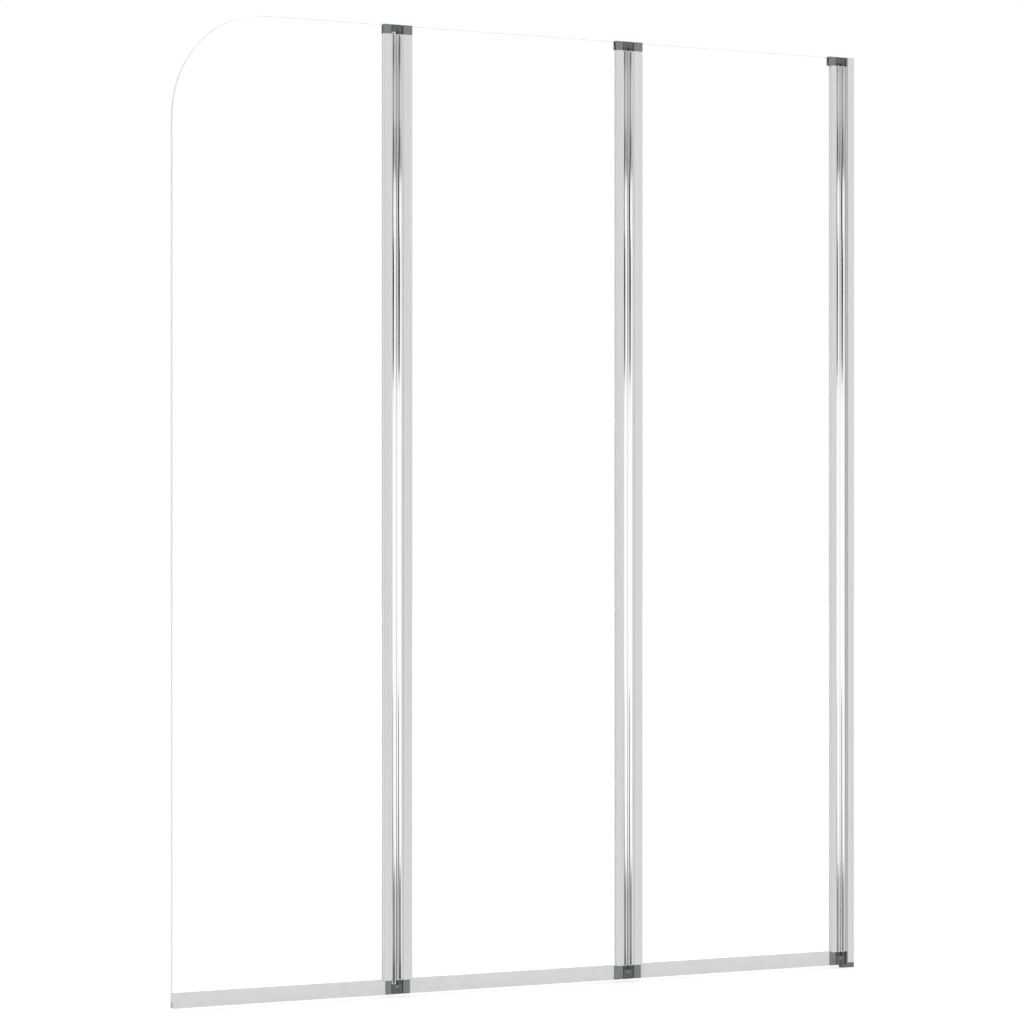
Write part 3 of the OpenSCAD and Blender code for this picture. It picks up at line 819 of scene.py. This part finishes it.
def screws_piece(node):
    """Pan-head screws: radius and height run from the tip of the shank round the rim of the head
    to its middle, turned about Y, and the crown sinks into a cross by a smooth step of the
    distance to the nearer of two crossed bars."""
    low, high = box_mm(node)
    axis_x = (low[0] + high[0]) / 2
    face_y, head_r = PROFILE_HALF, (high[0] - low[0]) / 2
    shank = [(POLE_R, low[1]), (SHANK_R, low[1]), (SHANK_R, face_y),
             (head_r, face_y), (head_r, face_y + HEAD_RIM)]
    rise = high[1] - face_y
    share = np.linspace(0, 1, 26)
    crown = np.stack([head_r * np.cos(share * np.pi / 2) ** CROWN_POWER,
                      face_y + HEAD_RIM + (rise - HEAD_RIM) * np.sin(share * np.pi / 2)], 1)[1:-1]
    path = np.concatenate([shank, crown, [(POLE_R, high[1])]])
    turn = full_turn(SCREW_SIDES)
    across, up = np.outer(path[:, 0], np.cos(turn)), np.outer(path[:, 0], np.sin(turn))
    away = 9.0  # beyond the end of its arm a bar counts as this much further off
    bar = np.minimum(np.abs(across) + away * (np.abs(up) > CROSS_ARM),
                     np.abs(up) + away * (np.abs(across) > CROSS_ARM))
    sink = np.clip((CROSS_EDGE - bar) / CROSS_SLOPE, 0, 1)
    on_crown = path[:, 1:2] > face_y + CROSS_FROM
    sink = sink * sink * (3 - 2 * sink) * on_crown * CROSS_DEPTH
    grid = np.stack([axis_x + across, path[:, 1:2] - sink, up], -1)
    parts = []
    for z in screw_heights(node):
        points, faces, smooth, finish = lattice(grid + (0, 0, z), False, True)
        tip = tuple(range(SCREW_SIDES))
        middle = tuple(range(len(points) - SCREW_SIDES, len(points)))
        parts.append(outwards((points, faces + flipped([tip]) + [middle],
                               np.append(smooth, [False, True]), np.append(finish, [0, 0]))))
    put_piece("pan_head_screws", joined(parts), [screw_metal], node)


screws_piece("post_clamp_screws")

# ---- Finishes of the CAD nodes that stay ----

for node, material in (("post_bushes", bush_plastic), ("inner_bushes", bush_plastic),
                       ("middle_bushes", bush_plastic), ("outer_bushes", bush_plastic),
                       ("wall_hinge_pins", pin_metal), ("inner_hinge_pins", pin_metal),
                       ("outer_hinge_pins", pin_metal)):
    for slot in frame["nodes"][node].material_slots:
        slot.material = material


# ---- Camera ----
# The photograph has parallel verticals, so the camera is level and its view is shifted up.

PICTURE = 1024.0  # width and height in pixels
HORIZON = 535.9  # pixels below the picture's upper edge
FOCAL = 4497.0  # pixels
SENSOR = 36.0
AZIMUTH = math.radians(-33.4)
forward = Vector((-math.sin(AZIMUTH), math.cos(AZIMUTH), 0.0))
rightward = Vector((math.cos(AZIMUTH), math.sin(AZIMUTH), 0.0))

camera_data = bpy.data.cameras.new("photo_camera")
camera_data.sensor_fit = "HORIZONTAL"
camera_data.sensor_width = SENSOR
camera_data.lens = FOCAL * SENSOR / PICTURE
camera_data.shift_y = (HORIZON - PICTURE / 2) / PICTURE
camera = bpy.data.objects.new("photo_camera", camera_data)
camera.location = (-4.254, -5.499, 0.664)
camera.rotation_euler = forward.to_track_quat("-Z", "Y").to_euler()
bpy.context.scene.collection.objects.link(camera)
bpy.context.scene.camera = camera

# ---- Floor, light and the cards that the metal mirrors, in metres ----

FLOOR_REACH = 30.0
FLOOR_Z = -0.0002
CARD_REACH = 200.0
CARD_CENTRE_Z = 0.7
STUDIO_LEVEL = 0.55  # of the surround, where it lights the object
FLOOR_LIFT = 0.4  # the floor's own light, which brings it up to the white surround


def soft_light(name, place, strength, spread):
    """Wide soft light from the direction of place, even over the whole studio."""
    lamp = bpy.data.lights.new(name, "SUN")
    lamp.energy = strength
    lamp.angle = math.radians(spread)
    holder = bpy.data.objects.new(name, lamp)
    holder.location = place
    holder.rotation_euler = (-Vector(place)).to_track_quat("-Z", "Y").to_euler()
    holder.visible_glossy = False
    bpy.context.scene.collection.objects.link(holder)


def seen_directly(tree):
    """One for rays from the camera, off a mirror or through glass."""
    path = add(tree, "ShaderNodeLightPath")
    first = add(tree, "ShaderNodeMath", {0: path.outputs["Is Camera Ray"],
                                         1: path.outputs["Is Glossy Ray"]}, operation="MAXIMUM")
    return add(tree, "ShaderNodeMath", {0: first.outputs[0],
                                        1: path.outputs["Is Transmission Ray"]},
               operation="MAXIMUM").outputs[0]


def studio_world():
    """White surround: full strength where the camera, metal and glass see it, and the plain
    level of the studio where it lights the object."""
    world = bpy.data.worlds.new("white_surround")
    bpy.context.scene.world = world
    world.use_nodes = True
    tree = world.node_tree
    tree.nodes.clear()
    both = add(tree, "ShaderNodeMixShader", {"Fac": seen_directly(tree)})
    for place, strength in ((1, STUDIO_LEVEL), (2, 1.0)):
        white = add(tree, "ShaderNodeBackground", {"Color": (1, 1, 1, 1), "Strength": strength})
        tree.links.new(white.outputs[0], both.inputs[place])
    add(tree, "ShaderNodeOutputWorld", {"Surface": both.outputs[0]})


def pale_floor():
    """Plain matt floor, pale enough to meet the white surround without a line, that keeps the
    object's shadow."""
    side = np.array([-FLOOR_REACH, FLOOR_REACH])
    x, y = np.meshgrid(side, side)
    mesh = bpy.data.meshes.new("floor")
    mesh.from_pydata(np.stack([x.ravel(), y.ravel(), np.full(4, FLOOR_Z)], 1).tolist(), [],
                     [(0, 1, 3, 2)])
    floor = bpy.data.objects.new("floor", mesh)
    bpy.context.scene.collection.objects.link(floor)
    material, tree, shader, place = start("matt_studio_floor", Roughness=0.9,
                                          Specular_IOR_Level=0.0)
    cloud = streaks(tree, place, (0.3, 0.3, 0.3), detail=1.0)
    mixed = add(tree, "ShaderNodeMix", {MIX_SHARE: cloud, MIX_FIRST: linear("#E4E4E4"),
                                        MIX_SECOND: linear("#E8E8E8")}, data_type="RGBA")
    tree.links.new(mixed.outputs[MIX_RESULT], shader.inputs["Base Color"])
    shader.inputs["Emission Color"].default_value = (1, 1, 1, 1)
    lift = add(tree, "ShaderNodeMath", {0: seen_directly(tree), 1: FLOOR_LIFT},
               operation="MULTIPLY")
    tree.links.new(lift.outputs[0], shader.inputs["Emission Strength"])
    mesh.materials.append(material)
    floor.visible_glossy = False


def dark_card(name, turn, tilt, shade):
    """Grey card, so far away that every hinge mirrors it alike: a patch of a sphere between two
    turns to the right of the direction back to the camera and two tilts above level, in
    degrees. Only metal and gloss see it."""
    angle, height = np.meshgrid(np.radians(np.linspace(*turn, 24)),
                                np.radians(np.linspace(*tilt, 6)))
    back, right = -np.array(forward[:2]), np.array(rightward[:2])
    level = np.cos(angle)[..., None] * back + np.sin(angle)[..., None] * right
    grid = np.concatenate([CARD_REACH * level * np.cos(height)[..., None],
                           CARD_REACH * np.sin(height)[..., None] + CARD_CENTRE_Z], -1)
    points, faces, _, _ = lattice(grid, False, False)
    mesh = bpy.data.meshes.new(name)
    mesh.from_pydata(points.tolist(), [], faces)
    card = bpy.data.objects.new(name, mesh)
    bpy.context.scene.collection.objects.link(card)
    material = bpy.data.materials.new(name)
    material.use_nodes = True
    tree = material.node_tree
    tree.nodes.clear()
    glow = add(tree, "ShaderNodeEmission", {"Color": (shade, shade, shade, 1), "Strength": 1.0})
    add(tree, "ShaderNodeOutputMaterial", {"Surface": glow.outputs[0]})
    mesh.materials.append(material)
    card.visible_camera = card.visible_diffuse = card.visible_transmission = False
    card.visible_shadow = card.visible_volume_scatter = False


# The turns that the flat panes mirror. Above the horizon they see only the white surround there.
PANES_TURN = (60.0, 73.5)


def clear_of_panes(turn):
    """What is left of a card's turn on both sides of the one that the panes mirror."""
    parts = [(turn[0], min(turn[1], PANES_TURN[0])), (max(turn[0], PANES_TURN[1]), turn[1])]
    return [part for part in parts if part[0] < part[1]]


# The cards: (turn, tilt, shade). From the photograph's place, an upright barrel mirrors at each
# height the tilt at which that height is seen, so 2 to 7 degrees show in its upper end and -2 to
# -7 in its lower end. The last five are tilted more, for views from above and below.
CARDS = (
    ((73.5, 118), (5.35, 6.12), 0.62), ((96, 116), (5.0, 5.35), 0.6),
    ((-8, 102), (6.12, 6.7), 0.04), ((-18, 68), (5.35, 6.12), 0.38),
    ((-2, 96), (5.0, 5.35), 0.05), ((-12, 112), (4.72, 5.0), 0.02),
    ((-36, 14), (3.9, 4.72), 0.02), ((-20, 46), (3.0, 3.9), 0.02), ((-20, 44), (2.1, 3.0), 0.13),
    ((-20, 6), (-3.6, -2.1), 0.14), ((-18, 12), (-4.4, -3.6), 0.02),
    ((-30, -8), (6.12, 6.7), 0.45), ((-30, -18), (5.35, 6.12), 0.45),
    ((-30, -2), (5.0, 5.35), 0.45), ((-30, -12), (4.72, 5.0), 0.4),
    ((-30, -8), (-4.9, -4.4), 0.5), ((-30, 4), (-5.6, -4.9), 0.5),
    ((-8, 84), (-4.9, -4.4), 0.2), ((4, 84), (-5.6, -4.9), 0.26), ((-12, 94), (-6.2, -5.6), 0.02),
    ((150, 200), (9, 45), 0.3), ((150, 200), (-45, -9), 0.3), ((280, 305), (9, 45), 0.3),
    ((280, 305), (-45, -9), 0.3), ((-50, -15), (-45, -9), 0.3))

soft_light("key_soft_light", (-2.2, -3.4, 2.4), strength=1.0, spread=70)
soft_light("fill_soft_light", (3.0, -2.4, 1.6), strength=0.5, spread=70)
soft_light("back_soft_light", (-0.4, 3.4, 2.4), strength=0.9, spread=70)
studio_world()
pale_floor()
for number, (turn, tilt, shade) in enumerate(CARDS):
    for side, part in enumerate(clear_of_panes(turn) if tilt[0] > 0 else [turn]):
        dark_card(f"dark_card_{number}_{side}", part, tilt, shade)

bpy.context.scene.view_settings.view_transform = "Standard"
